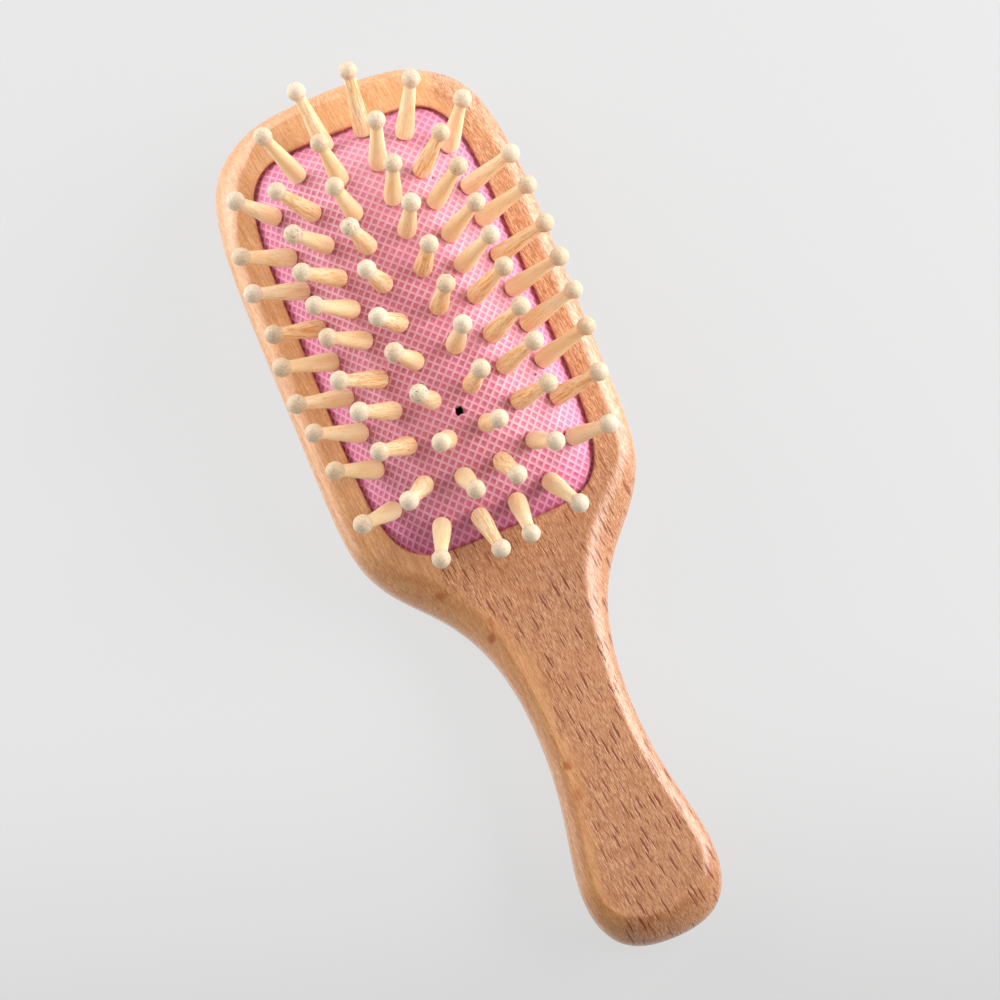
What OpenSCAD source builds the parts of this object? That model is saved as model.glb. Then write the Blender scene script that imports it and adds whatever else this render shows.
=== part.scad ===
// Paddle brush: beech board with a pocket, domed rubber air cushion and turned
// wooden ball-tipped pins. Millimetres, +Z up, board lying on its flat back.

/* [Board] */
// Length of the whole board, bulb end to head end
board_length = 176; // [160:1:200]
// Thickness of the board
board_thickness = 14; // [12:0.5:18]
// Width of the front roundover at the head
head_round = 3.5; // [3:0.5:6]
// Width of the front roundover where the neck flares into the head
flare_round = 6; // [3:0.5:7]
// Width of the front roundover along the handle
handle_round = 3; // [2.5:0.5:6]
// Width of the front roundover at the end of the handle
end_round = 5.5; // [3:0.5:7]
// Width of the back roundover at the head
back_round = 6; // [4:0.5:8]
// Width of the back roundover along the handle
handle_back_round = 7.5; // [5:0.5:8]

/* [Pocket] */
// Inside width of the pocket
pocket_width = 45.5; // [40:0.5:48]
// Inside length of the pocket
pocket_length = 85; // [75:0.5:88]
// Depth of the pocket below the front face
pocket_depth = 8.5; // [7:0.5:9.5]
// How far the groove for the cushion's rim reaches into the wall
groove_reach = 1.5; // [1:0.1:2]
// Clearance around the cushion's rim in its groove
rim_clearance = 0.1; // [0.05:0.01:0.2]

/* [Cushion] */
// Rise of the cushion above its rim
dome_height = 13; // [9:0.5:14]
// Depth of the cushion's rim below the front face
rim_depth = 1.6; // [1:0.1:3]
// Thickness of the rubber
rubber_thickness = 1.8; // [1.2:0.1:2.5]
// Width of the air vent hole
vent_width = 1.8; // [1:0.1:3]

/* [Pins] */
// Width of the ball tip
ball_width = 3.6; // [3:0.1:4.5]
// Height of the ball's centre above the rubber, along the pin
pin_length = 13.8; // [11:0.1:16]
// Width of the flared base on the rubber
base_width = 3.6; // [3:0.1:4.5]
// Width of the shank just under the ball
shank_width = 2.3; // [1.8:0.1:2.8]
// Width of the neck that passes through the rubber
neck_width = 2; // [1.6:0.1:2.4]
// Width of the foot that holds the pin under the rubber
foot_width = 3; // [2.6:0.1:3.4]
// Distance of the inner, middle and outer columns from the centre line
columns = [3.8, 10.8, 17.9];
// Rows of the two inner columns, head end first
inner_rows = [39, 30, 22, 15, 7, -1, -9, -17, -24.5, -31.5, -38.5];
// Rows of the two middle columns
middle_rows = [35, 26, 19, 12, 5.5, -1, -9, -15.5, -22.5, -30, -37.5];
// Rows of the two outer columns
outer_rows = [30, 21, 14, 6, -1, -8.5, -16, -23.5, -31.5];
// How much the sideways lean eases towards the ends of the head
lean_ease = 0.6; // [0:0.1:0.9]
// Pins that stand off square in the rubber: [column 0-5 from the left, row from
// the head end, degrees to the right, degrees towards the head end]
off_square = [
  [0, 0, 6, -2], [0, 3, 6, -3], [0, 6, 5, 5], [0, 7, 6, 5],
  [1, 0, -5, -2], [1, 2, 4, -2], [1, 6, -6, 0], [1, 10, -5, -1],
  [2, 0, -5, -2], [2, 1, 0, -7], [2, 5, -6, -4], [2, 6, -5, 0], [2, 9, 8, 2], [2, 10, 6, 1],
  [3, 0, 5, -1], [3, 1, 4, -6], [3, 10, -3, 4],
  [4, 0, 10, -2], [4, 1, 2, -5], [4, 9, -5, 0], [4, 10, 6, -2],
  [5, 0, -8, 7], [5, 1, 5, -3], [5, 2, 8, 0], [5, 3, 8, 0], [5, 4, 8, 0], [5, 5, 8, 3], [5, 6, 5, 4]];

/* [Hidden] */
head_y = 36;
front_z = board_thickness;
rim_z = front_z - rim_depth;
half_w = pocket_width / 2;
half_l = pocket_length / 2;
corner_power = 5.4;
wood = [0.80, 0.56, 0.35];
pale_wood = [0.93, 0.82, 0.62];
pink = [0.85, 0.45, 0.55];

// Right-hand side of the board's outline about the pocket's centre, as the
// control points of a smooth curve, from the bulb end to the head end.
side = [
  [4.5, -124.2], [10, -121.8], [12.8, -116.8], [13.4, -110.5], [12.1, -103], [10.5, -95.5],
  [9.5, -88], [9.3, -80], [9.8, -72.5], [11.4, -65], [14, -58.5], [18.5, -52],
  [24.5, -46], [28.7, -39], [29.8, -30], [29.9, -18], [30, -4], [30.2, 10],
  [30.3, 24], [29.4, 34.5], [27.4, 43], [21.5, 49.3], [11, 52.3]];
steps = 5;
board_scale = board_length / 176;

function mirrored(p) = [-p[0], p[1]];
function control(i) = let (n = len(side))
  i < 0 ? mirrored(side[-1 - i]) : i > n - 1 ? mirrored(side[2 * n - 1 - i]) : side[i];
function spline(i, t) =
  (pow(1 - t, 3) * control(i - 1) + (3 * pow(t, 3) - 6 * t * t + 4) * control(i)
   + (-3 * pow(t, 3) + 3 * t * t + 3 * t + 1) * control(i + 1) + pow(t, 3) * control(i + 2)) / 6;
function spline_slope(i, t) =
  (-3 * pow(1 - t, 2) * control(i - 1) + (9 * t * t - 12 * t) * control(i)
   + (-9 * t * t + 6 * t + 3) * control(i + 1) + 3 * t * t * control(i + 2)) / 6;

// One half of the outline runs from the middle of the bulb end to the middle
// of the head end: half a span, the whole spans between, and half a span.
function half_spans() = concat(
  [for (k = [0 : 2]) [-1, 0.5 + k / 6]],
  [for (i = [0 : len(side) - 2]) for (k = [0 : steps - 1]) [i, k / steps]],
  [for (k = [0 : 3]) [len(side) - 1, k / 6]]);
right_spans = half_spans();
right_points = [for (s = right_spans) spline(s[0], s[1])];
right_slopes = [for (s = right_spans) spline_slope(s[0], s[1])];
m = len(right_points);
n_out = 2 * m - 2;
outline = [for (k = [0 : n_out - 1]) k < m ? right_points[k] : mirrored(right_points[n_out - k])];
inward = [for (k = [0 : n_out - 1])
  let (s = k < m ? right_slopes[k] : right_slopes[n_out - k], d = norm(s))
  k < m ? [-s[1], s[0]] / d : [s[1], s[0]] / d];

function smooth(t) = let (u = min(1, max(0, t))) u * u * (3 - 2 * u);
// 0 over the head, 1 along the handle
function handle_share(y) = smooth((-40 - y) / 35);
function front_inset(y) = head_round + (flare_round - head_round) * smooth((-36 - y) / 14)
  + (handle_round - flare_round) * smooth((-50 - y) / 22)
  + (end_round - handle_round) * smooth((-110 - y) / 14);
function back_inset(y) = back_round + (handle_back_round - back_round) * handle_share(y);
arcs = 5;
back_rise = 6;
// How far the front edge drops at a share s of its width w: a soft chamfer
// that starts with a faint crease, and a tight round down to the side
function side_drop(w) = 4.5 + 0.25 * w;
function edge_drop(s, w) = s >= 0.25 ? 0.64 * w * pow(max(0, 1 - s), 1.3)
  : let (t = 1 - 4 * s, c = 0.44 * w, d = 0.19 * w)
    c + d * t + (side_drop(w) - c - d) * (1 - sqrt(max(0, 1 - t * t)));
front_shares = [0, 0.02, 0.07, 0.15, 0.25, 0.45, 0.7, 0.92, 1];
// Section of the board's edge: [front share or -1 on the back, share of the back inset, height on the back]
edge = concat(
  [for (k = [0 : arcs]) let (q = 90 * k / arcs)
    [-1, 1 - sin(q), back_rise * (1 - cos(q))]],
  [for (s = front_shares) [s, 0, 0]]);
rings = len(edge);

function board_points() = [for (e = edge) for (k = [0 : n_out - 1])
  let (p = outline[k], w = front_inset(p[1]), q = p + inward[k] * (max(0, e[0]) * w + e[1] * back_inset(p[1])))
  [q[0] * board_scale, q[1] * board_scale + head_y, e[0] < 0 ? e[2] : front_z - edge_drop(e[0], w)]];
function wall_faces(n, rows) = [for (r = [0 : rows - 2]) for (k = [0 : n - 1]) for (h = [0, 1])
  let (a = r * n + k, b = r * n + (k + 1) % n)
  h == 0 ? [a, a + n, b] : [b, a + n, b + n]];
function cap_faces(n, base, up) = [for (k = [0 : n / 2 - 1]) for (h = [0, 1])
  let (a = base + k, b = base + k + 1, c = base + (n - k) % n, d = base + n - k - 1,
       t = h == 0 ? [a, b, d] : [a, d, c])
  if ((h == 0 && k < n / 2 - 1) || (h == 1 && k > 0)) up ? t : [t[2], t[1], t[0]]];

module board_blank() {
  polyhedron(points = board_points(),
    faces = concat(wall_faces(n_out, rings),
      cap_faces(n_out, 0, true), cap_faces(n_out, (rings - 1) * n_out, false)),
    convexity = 6);
}

// Closed curve of the pocket, grown by g
function sgn_pow(v, e) = sign(v) * pow(abs(v), e);
function pocket_point(q, g) = [
  (half_w + g) * sgn_pow(cos(q), 2 / corner_power),
  (half_l + g) * sgn_pow(sin(q), 2 / corner_power)];
// Angles that space the curve's points evenly around the corners
function even_angle(k, n) = let (f = 4 * k / n, s = floor(f), t = f - s,
  c = t < 0.5 ? pow(2 * t, corner_power / 2) / 2 : 1 - pow(2 - 2 * t, corner_power / 2) / 2)
  90 * s + 90 * (0.32 * c + 0.68 * c);
around = 96;
function pocket_curve(g) = [for (k = [0 : around - 1]) pocket_point(even_angle(k, around), g)];

// Height of the rubber's outer face above the rim, about the pocket's centre
function radial(x, y) = pow(pow(abs(x) / half_w, corner_power) + pow(abs(y) / half_l, corner_power), 1 / corner_power);
// Brings the rounded corners down to the rim
function corner_share(x, y) = 1 - max(0, pow(min(1, radial(x, y)), 30)
  - pow(max(abs(x) / half_w, abs(y) / half_l), 30));
function dome(x, y) = max(0, dome_height * (1 - pow(abs(x) / half_w, 2.1))
  * (1 - pow(abs(y) / half_l, 4.2)) * corner_share(x, y));
function dome_normal(x, y) = let (e = 0.05,
  v = [(dome(x - e, y) - dome(x + e, y)) / (2 * e), (dome(x, y - e) - dome(x, y + e)) / (2 * e), 1])
  v / norm(v);

module handle() {
  color(wood) difference() {
    board_blank();
    translate([0, head_y, front_z - pocket_depth])
      linear_extrude(pocket_depth + 2) polygon(pocket_curve(0));
    translate([0, head_y, rim_z - rubber_thickness - rim_clearance])
      linear_extrude(rubber_thickness + 2 * rim_clearance) polygon(pocket_curve(groove_reach));
  }
}

levels = 12;
function level_share(r) = r < 6 ? 0.1 + 0.1 * r : [0.68, 0.76, 0.83, 0.89, 0.94, 0.975, 1][r - 6];
n_levels = 13;
function skin(lower) = [for (r = [0 : n_levels - 1]) for (k = [0 : around - 1])
  let (p = pocket_point(even_angle(k, around), -rim_clearance) * level_share(r))
  [p[0], p[1] + head_y, rim_z + (r < n_levels - 1 ? dome(p[0], p[1]) : 0) - lower]];
function rim_row(z) = [for (p = pocket_curve(groove_reach - rim_clearance)) [p[0], p[1] + head_y, z]];
module cushion_blank() {
  // outer centre, outer rings, rim top, rim bottom, inner rings from the rim in, inner centre
  outer = skin(0);
  inner = skin(rubber_thickness);
  inner_in = [for (r = [n_levels - 1 : -1 : 0]) for (k = [0 : around - 1]) inner[r * around + k]];
  rows = 2 * n_levels + 2;
  all_points = concat(outer, rim_row(rim_z), rim_row(rim_z - rubber_thickness), inner_in,
    [[0, head_y, rim_z + dome(0, 0)], [0, head_y, rim_z + dome(0, 0) - rubber_thickness]]);
  top = rows * around;
  polyhedron(points = all_points, faces = concat(
      [for (r = [0 : rows - 2]) for (k = [0 : around - 1]) for (h = [0, 1])
        let (a = r * around + k, b = r * around + (k + 1) % around)
        h == 0 ? [a, b, a + around] : [b, b + around, a + around]],
      [for (k = [0 : around - 1]) [top, (k + 1) % around, k]],
      [for (k = [0 : around - 1]) [top + 1, (rows - 1) * around + k, (rows - 1) * around + (k + 1) % around]]),
    convexity = 6);
}

function column_x(c) = (c < 3 ? -1 : 1) * columns[c < 3 ? 2 - c : c - 3];
function column_rows(c) = (c == 0 || c == 5) ? outer_rows : (c == 1 || c == 4) ? middle_rows : inner_rows;

// Direction of a pin: square to the rubber, eased towards the ends, plus what
// the list of off-square pins adds
function eased(v, y) = [v[0] * (1 - lean_ease * pow(abs(y) / half_l, 3)), v[1], v[2]];
function off_by(c, r) = [for (p = off_square) if (p[0] == c && p[1] == r) [sin(p[2]), sin(p[3]), 0]];
function pin_axis(c, r) = let (v = eased(dome_normal(column_x(c), column_rows(c)[r]), column_rows(c)[r]),
  u = v / norm(v), o = off_by(c, r), w = len(o) > 0 ? u + o[0] : u) w / norm(w);

// Carries its children to the rubber's face at a pin, turned along the pin
module at_pin(c, r) {
  x = column_x(c);
  y = column_rows(c)[r];
  v = pin_axis(c, r);
  translate([x, y + head_y, rim_z + dome(x, y)])
    rotate([0, acos(v[2]), atan2(v[1], v[0])]) children();
}

module cushion() {
  color(pink) difference() {
    cushion_blank();
    for (c = [0 : 5]) for (r = [0 : len(column_rows(c)) - 1]) at_pin(c, r) {
      translate([0, 0, -5]) cylinder(h = 8, d = neck_width + 0.1, $fn = 32);
      // dent that the pin's base presses into the rubber
      translate([0, 0, 0.03]) cylinder(h = 3, d = base_width + 0.3, $fn = 32);
    }
    translate([0, head_y - 20.5, rim_z + dome_height - 6]) cylinder(h = 8, d = vent_width, $fn = 32);
  }
}

// One turned pin: foot, neck, flared shank and ball
module pin(c, r) {
  b = base_width / 2;
  s = shank_width / 2;
  k = neck_width / 2;
  l = pin_length;
  f = foot_width / 2;
  color(pale_wood) at_pin(c, r) {
    rotate_extrude($fn = 48) polygon([
      [0, -3.7], [f - 0.55, -3.7], [f, -3], [f, -2.7], [k, -2.4], [k, 0.08], [b - 0.5, 0.08],
      [b - 0.22, 0.3], [b - 0.05, 0.7], [b, 1.2], [b - 0.04, 2], [b - 0.18, 4], [b - 0.36, 6.5],
      [s + 0.12, 9], [s + 0.02, l - 2.8], [s, l - 1.2], [0, l - 1.2]]);
    translate([0, 0, l]) sphere(d = ball_width, $fn = 48);
  }
}

// Columns a to f run across the head, rows 01 to 11 from the head end.
module pin_a01() pin(0, 0);
module pin_a02() pin(0, 1);
module pin_a03() pin(0, 2);
module pin_a04() pin(0, 3);
module pin_a05() pin(0, 4);
module pin_a06() pin(0, 5);
module pin_a07() pin(0, 6);
module pin_a08() pin(0, 7);
module pin_a09() pin(0, 8);
module pin_b01() pin(1, 0);
module pin_b02() pin(1, 1);
module pin_b03() pin(1, 2);
module pin_b04() pin(1, 3);
module pins_b05_b06() { pin(1, 4); pin(1, 5); }
module pin_b07() pin(1, 6);
module pin_b08() pin(1, 7);
module pin_b09() pin(1, 8);
module pin_b10() pin(1, 9);
module pin_b11() pin(1, 10);
module pin_c01() pin(2, 0);
module pin_c02() pin(2, 1);
module pin_c03() pin(2, 2);
module pin_c04() pin(2, 3);
module pins_c05_c06() { pin(2, 4); pin(2, 5); }
module pin_c07() pin(2, 6);
module pin_c08() pin(2, 7);
module pin_c09() pin(2, 8);
module pin_c10() pin(2, 9);
module pin_c11() pin(2, 10);
module pin_d01() pin(3, 0);
module pin_d02() pin(3, 1);
module pin_d03() pin(3, 2);
module pin_d04() pin(3, 3);
module pins_d05_d06() { pin(3, 4); pin(3, 5); }
module pin_d07() pin(3, 6);
module pin_d08() pin(3, 7);
module pin_d09() pin(3, 8);
module pin_d10() pin(3, 9);
module pin_d11() pin(3, 10);
module pin_e01() pin(4, 0);
module pin_e02() pin(4, 1);
module pin_e03() pin(4, 2);
module pin_e04() pin(4, 3);
module pins_e05_e06() { pin(4, 4); pin(4, 5); }
module pin_e07() pin(4, 6);
module pin_e08() pin(4, 7);
module pin_e09() pin(4, 8);
module pin_e10() pin(4, 9);
module pin_e11() pin(4, 10);
module pin_f01() pin(5, 0);
module pin_f02() pin(5, 1);
module pin_f03() pin(5, 2);
module pin_f04() pin(5, 3);
module pin_f05() pin(5, 4);
module pin_f06() pin(5, 5);
module pin_f07() pin(5, 6);
module pin_f08() pin(5, 7);
module pin_f09() pin(5, 8);

handle();
cushion();
pin_a01();
pin_a02();
pin_a03();
pin_a04();
pin_a05();
pin_a06();
pin_a07();
pin_a08();
pin_a09();
pin_b01();
pin_b02();
pin_b03();
pin_b04();
pins_b05_b06();
pin_b07();
pin_b08();
pin_b09();
pin_b10();
pin_b11();
pin_c01();
pin_c02();
pin_c03();
pin_c04();
pins_c05_c06();
pin_c07();
pin_c08();
pin_c09();
pin_c10();
pin_c11();
pin_d01();
pin_d02();
pin_d03();
pin_d04();
pins_d05_d06();
pin_d07();
pin_d08();
pin_d09();
pin_d10();
pin_d11();
pin_e01();
pin_e02();
pin_e03();
pin_e04();
pins_e05_e06();
pin_e07();
pin_e08();
pin_e09();
pin_e10();
pin_e11();
pin_f01();
pin_f02();
pin_f03();
pin_f04();
pin_f05();
pin_f06();
pin_f07();
pin_f08();
pin_f09();
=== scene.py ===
import math
import random
import bpy
import numpy as np
from mathutils import Matrix, Vector
from mathutils.geometry import delaunay_2d_cdt


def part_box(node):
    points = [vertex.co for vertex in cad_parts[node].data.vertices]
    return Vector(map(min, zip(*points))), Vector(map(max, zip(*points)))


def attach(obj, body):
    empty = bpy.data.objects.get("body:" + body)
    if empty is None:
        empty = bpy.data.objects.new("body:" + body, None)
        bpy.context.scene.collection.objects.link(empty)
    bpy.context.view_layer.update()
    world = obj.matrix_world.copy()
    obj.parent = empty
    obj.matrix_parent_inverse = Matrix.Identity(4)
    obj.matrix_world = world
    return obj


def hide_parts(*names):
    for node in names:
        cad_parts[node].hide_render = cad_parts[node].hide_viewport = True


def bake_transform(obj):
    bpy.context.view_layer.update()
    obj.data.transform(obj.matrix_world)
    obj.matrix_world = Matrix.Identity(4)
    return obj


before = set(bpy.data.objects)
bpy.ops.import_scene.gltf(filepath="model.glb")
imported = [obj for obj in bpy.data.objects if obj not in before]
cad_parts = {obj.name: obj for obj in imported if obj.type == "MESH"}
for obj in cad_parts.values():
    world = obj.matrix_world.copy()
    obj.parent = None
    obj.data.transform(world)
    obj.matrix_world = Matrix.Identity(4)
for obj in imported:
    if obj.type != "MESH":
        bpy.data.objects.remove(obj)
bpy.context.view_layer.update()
MM = 0.001
rng = random.Random(7)

# ---------------------------------------------------------------- camera
cam_data = bpy.data.cameras.new("camera")
cam = bpy.data.objects.new("camera", cam_data)
bpy.context.scene.collection.objects.link(cam)
cam_data.sensor_width = 36
cam_data.lens = 79.8
cam_data.clip_start = 0.01
cam_data.clip_end = 10
right = Vector((0.9248, -0.3793, -0.0309))
view = Vector((0.0376, 0.1721, -0.9844))
right = (right - view * right.dot(view)).normalized()
up = right.cross(view).normalized()
m = Matrix((right, up, -view.normalized())).transposed().to_4x4()
m.translation = Vector((-0.01467, -0.07289, 0.42484))
cam.matrix_world = m
bpy.context.scene.camera = cam

# ---------------------------------------------------------------- drawing
# The same rules as the CAD, sampled more finely, in millimetres.
board_lo, board_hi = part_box("handle")
cush_lo, cush_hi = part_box("cushion")
FRONT = board_hi.z / MM
HEAD_Y = 36.0
RIM = FRONT - 1.6
HW, HL, POW = 22.75, 42.5, 5.4
RUBBER = 1.8
DOME = cush_hi.z / MM - RIM
COLS = [3.8, 10.8, 17.9]
ROWS = {
    "in": [39, 30, 22, 15, 7, -1, -9, -17, -24.5, -31.5, -38.5],
    "mid": [35, 26, 19, 12, 5.5, -1, -9, -15.5, -22.5, -30, -37.5],
    "out": [30, 21, 14, 6, -1, -8.5, -16, -23.5, -31.5],
}
OFF = {
    (0, 0): (6, -2), (0, 3): (6, -3), (0, 6): (5, 5), (0, 7): (6, 5),
    (1, 0): (-5, -2), (1, 2): (4, -2), (1, 6): (-6, 0), (1, 10): (-5, -1),
    (2, 0): (-5, -2), (2, 1): (0, -7), (2, 5): (-6, -4), (2, 6): (-5, 0), (2, 9): (8, 2), (2, 10): (6, 1),
    (3, 0): (5, -1), (3, 1): (4, -6), (3, 10): (-3, 4),
    (4, 0): (10, -2), (4, 1): (2, -5), (4, 9): (-5, 0), (4, 10): (6, -2),
    (5, 0): (-8, 7), (5, 1): (5, -3), (5, 2): (8, 0), (5, 3): (8, 0), (5, 4): (8, 0), (5, 5): (8, 3), (5, 6): (5, 4),
}


def dome(x, y):
    X, Y = np.minimum(np.abs(x) / HW, 1), np.minimum(np.abs(y) / HL, 1)
    F = np.minimum((X**POW + Y**POW) ** (1 / POW), 1)
    corner = 1 - np.maximum(0, F**30 - np.maximum(X, Y) ** 30)
    return np.maximum(0, DOME * (1 - X**2.1) * (1 - Y**4.2) * corner)


def col_x(c):
    return (-1 if c < 3 else 1) * COLS[2 - c if c < 3 else c - 3]


def col_rows(c):
    return ROWS["out" if c in (0, 5) else "mid" if c in (1, 4) else "in"]


def pin_base(c, r):
    x, y = col_x(c), col_rows(c)[r]
    return np.array([x, y + HEAD_Y, RIM + float(dome(x, y))])


def unit(v):
    return v / np.linalg.norm(v)


def pin_axis(c, r):
    x, y, e = col_x(c), col_rows(c)[r], 0.05
    v = unit(np.array([
        (dome(x - e, y) - dome(x + e, y)) / (2 * e),
        (dome(x, y - e) - dome(x, y + e)) / (2 * e), 1.0]))
    v[0] *= 1 - 0.6 * (abs(y) / HL) ** 3
    v = unit(v)
    if (c, r) in OFF:
        a, b = OFF[c, r]
        v = unit(v + [math.sin(math.radians(a)), math.sin(math.radians(b)), 0])
    return v


def mesh_piece(name, verts, faces, smooth=True):
    me = bpy.data.meshes.new(name)
    me.from_pydata([tuple(v) for v in verts], [], [tuple(int(i) for i in f) for f in faces])
    me.validate()
    me.update()
    if smooth:
        me.polygons.foreach_set("use_smooth", [True] * len(me.polygons))
    ob = bpy.data.objects.new(name, me)
    bpy.context.scene.collection.objects.link(ob)
    return ob


def ring_faces(a, b, n, flip=False):
    out = []
    for k in range(n):
        q = (a + k, a + (k + 1) % n, b + (k + 1) % n, b + k)
        out.append(q[::-1] if flip else q)
    return out


def fill(outer, inner=None, up=True):
    """Triangles between a closed outline and a hole in it, as indices into outer + inner."""
    pts = [Vector((float(p[0]), float(p[1]))) for p in outer]
    no = len(pts)
    faces = [list(range(no))]
    if inner is not None:
        pts += [Vector((float(p[0]), float(p[1]))) for p in inner]
        faces.append(list(range(no, len(pts))))
    vs, _, tris, orig_v, _, orig_f = delaunay_2d_cdt(pts, [], faces, 0, 1e-6)
    out = []
    for t, of in zip(tris, orig_f):
        if 0 in of and 1 not in of:
            ids = [orig_v[i][0] for i in t]
            a, b, c = (pts[i] for i in ids[:3])
            ccw = (b - a).cross(c - a) > 0
            out.append(ids if ccw == up else ids[::-1])
    return out


# ---------------------------------------------------------------- board
SIDE = np.array([
    [4.5, -124.2], [10, -121.8], [12.8, -116.8], [13.4, -110.5], [12.1, -103], [10.5, -95.5],
    [9.5, -88], [9.3, -80], [9.8, -72.5], [11.4, -65], [14, -58.5], [18.5, -52],
    [24.5, -46], [28.7, -39], [29.8, -30], [29.9, -18], [30, -4], [30.2, 10],
    [30.3, 24], [29.4, 34.5], [27.4, 43], [21.5, 49.3], [11, 52.3]])


def control(i):
    n = len(SIDE)
    if i < 0:
        return SIDE[-1 - i] * [-1, 1]
    if i > n - 1:
        return SIDE[2 * n - 1 - i] * [-1, 1]
    return SIDE[i]


def spline(i, t):
    c = [control(i + k) for k in (-1, 0, 1, 2)]
    p = ((1 - t) ** 3 * c[0] + (3 * t**3 - 6 * t * t + 4) * c[1] + (-3 * t**3 + 3 * t * t + 3 * t + 1) * c[2] + t**3 * c[3]) / 6
    d = (-3 * (1 - t) ** 2 * c[0] + (9 * t * t - 12 * t) * c[1] + (-9 * t * t + 6 * t + 3) * c[2] + 3 * t * t * c[3]) / 6
    return p, d


def outline(steps):
    spans = [(-1, 0.5 + 0.5 * k / steps) for k in range(steps)]
    spans += [(i, k / steps) for i in range(len(SIDE) - 1) for k in range(steps)]
    spans += [(len(SIDE) - 1, 0.5 * k / steps) for k in range(steps + 1)]
    pd = [spline(*s) for s in spans]
    p = np.array([q[0] for q in pd])
    d = np.array([q[1] for q in pd])
    d /= np.linalg.norm(d, axis=1)[:, None]
    inward = np.c_[-d[:, 1], d[:, 0]]
    p2 = p[1:-1][::-1] * [-1, 1]
    i2 = inward[1:-1][::-1] * [-1, 1]
    return np.r_[p, p2], np.r_[inward, i2]


def smooth(t):
    u = np.clip(t, 0, 1)
    return u * u * (3 - 2 * u)


def pocket_ring(g, z, n=360):
    # evenly spaced round the pocket's curve
    q = np.linspace(0, 2 * np.pi, 20000, endpoint=False)
    c, s = np.cos(q), np.sin(q)
    x = (HW + g) * np.sign(c) * np.abs(c) ** (2 / POW)
    y = (HL + g) * np.sign(s) * np.abs(s) ** (2 / POW)
    L = np.r_[0, np.cumsum(np.hypot(np.diff(np.r_[x, x[0]]), np.diff(np.r_[y, y[0]])))]
    t = np.linspace(0, L[-1], n, endpoint=False)
    xs = np.interp(t, L, np.r_[x, x[0]])
    ys = np.interp(t, L, np.r_[y, y[0]])
    return np.c_[xs, ys + HEAD_Y, np.full(n, z)]


def build_board():
    P, N = outline(9)
    n = len(P)
    share = smooth((-40 - P[:, 1]) / 35)
    fr = 3.5 + 2.5 * smooth((-36 - P[:, 1]) / 14) - 3.0 * smooth((-50 - P[:, 1]) / 22) + 2.5 * smooth((-110 - P[:, 1]) / 14)
    # the far corners are rounded over a little more
    fr = fr + 2.0 * smooth((P[:, 1] - 28) / 12) * smooth((np.abs(P[:, 0]) - 14) / 9)
    bk = 6.0 + 1.5 * share
    rings = []

    def drop(s):
        # a soft chamfer that starts without a crease, then a tight round down to the side
        if s >= 0.25:
            return 0.70 * fr * max(0, 1 - s) ** 1.615
        t, c, d = 1 - 4 * s, 0.44 * fr, 0.19 * fr
        return c + d * t + (4.5 + 0.25 * fr - c - d) * (1 - math.sqrt(max(0, 1 - t * t)))

    def ring(fshare, bshare, z, extra=0.0):
        Q = P + N * (fshare * fr + bshare * bk + extra)[:, None]
        rings.append(np.c_[Q[:, 0], Q[:, 1] + HEAD_Y, np.full(n, z)])

    ring(0, 1, 0, 0.4)
    A = 12
    for k in range(A + 1):
        q = math.radians(90 * k / A)
        ring(0, 1 - math.sin(q), 6 * (1 - math.cos(q)))
    for s in (0, 0.004, 0.015, 0.035, 0.06, 0.09, 0.13, 0.18, 0.25, 0.33, 0.42, 0.52, 0.62, 0.72, 0.81, 0.88, 0.93, 0.965, 0.99, 1):
        Q = P + N * (s * fr)[:, None]
        rings.append(np.c_[Q[:, 0], Q[:, 1] + HEAD_Y, FRONT - drop(s)])
    ring(0, 0, FRONT, fr + 0.35)
    verts = [v for r in rings for v in r]
    faces = []
    for k in range(len(rings) - 1):
        faces += ring_faces(k * n, (k + 1) * n, n)
    top = (len(rings) - 1) * n
    # back
    faces += [list(f) for f in fill(rings[0][:, :2], None, up=False)]
    # pocket: lip, wall, groove, wall, floor
    R = 0.45
    M = 360
    prof = [(R + 0.3, FRONT), (R, FRONT)]
    for k in range(1, 7):
        q = math.radians(90 * k / 6)
        prof.append((R * (1 - math.sin(q)), FRONT - R * (1 - math.cos(q))))
    prof += [(0, RIM + 0.1), (1.5, RIM + 0.1), (1.5, RIM - RUBBER - 0.1), (0, RIM - RUBBER - 0.1),
             (0, FRONT - 8.1), (-0.12, FRONT - 8.38), (-0.4, FRONT - 8.5), (-0.8, FRONT - 8.5)]
    start = len(verts)
    for g, z in prof:
        verts += list(pocket_ring(g, z, M))
    for k in range(len(prof) - 1):
        faces += ring_faces(start + k * M, start + (k + 1) * M, M, flip=False)
    floor0 = start + (len(prof) - 1) * M
    for f in fill(rings[-1][:, :2], pocket_ring(prof[0][0], FRONT, M)[:, :2], up=True):
        faces.append([top + i if i < n else start + i - n for i in f])
    for f in fill(pocket_ring(prof[-1][0], 0, M)[:, :2], None, up=True):
        faces.append([floor0 + i for i in f])
    ob = mesh_piece("board", np.array(verts) * MM, faces)
    return ob


board = build_board()

# ---------------------------------------------------------------- cushion
PITCH, LINE, BEVEL, RELIEF = 1.35, 0.20, 0.12, 0.07
VENT = (0.0, -20.5)
HOLE_R = 1.08


def line_share(v):
    d = np.abs((v + PITCH / 2) % PITCH - PITCH / 2)
    return 1 - smooth((d - LINE) / BEVEL)


GL_X, GL_W = np.polynomial.legendre.leggauss(10)


def across(x, y):
    """Distance along the skin from its middle line to x."""
    t = 0.5 * x[:, None] * (GL_X + 1)
    yy = np.repeat(y[:, None], len(GL_X), 1)
    slope = (dome(t + 0.02, yy) - dome(t - 0.02, yy)) / 0.04
    return 0.5 * x * (np.sqrt(1 + slope**2) @ GL_W)


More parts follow.
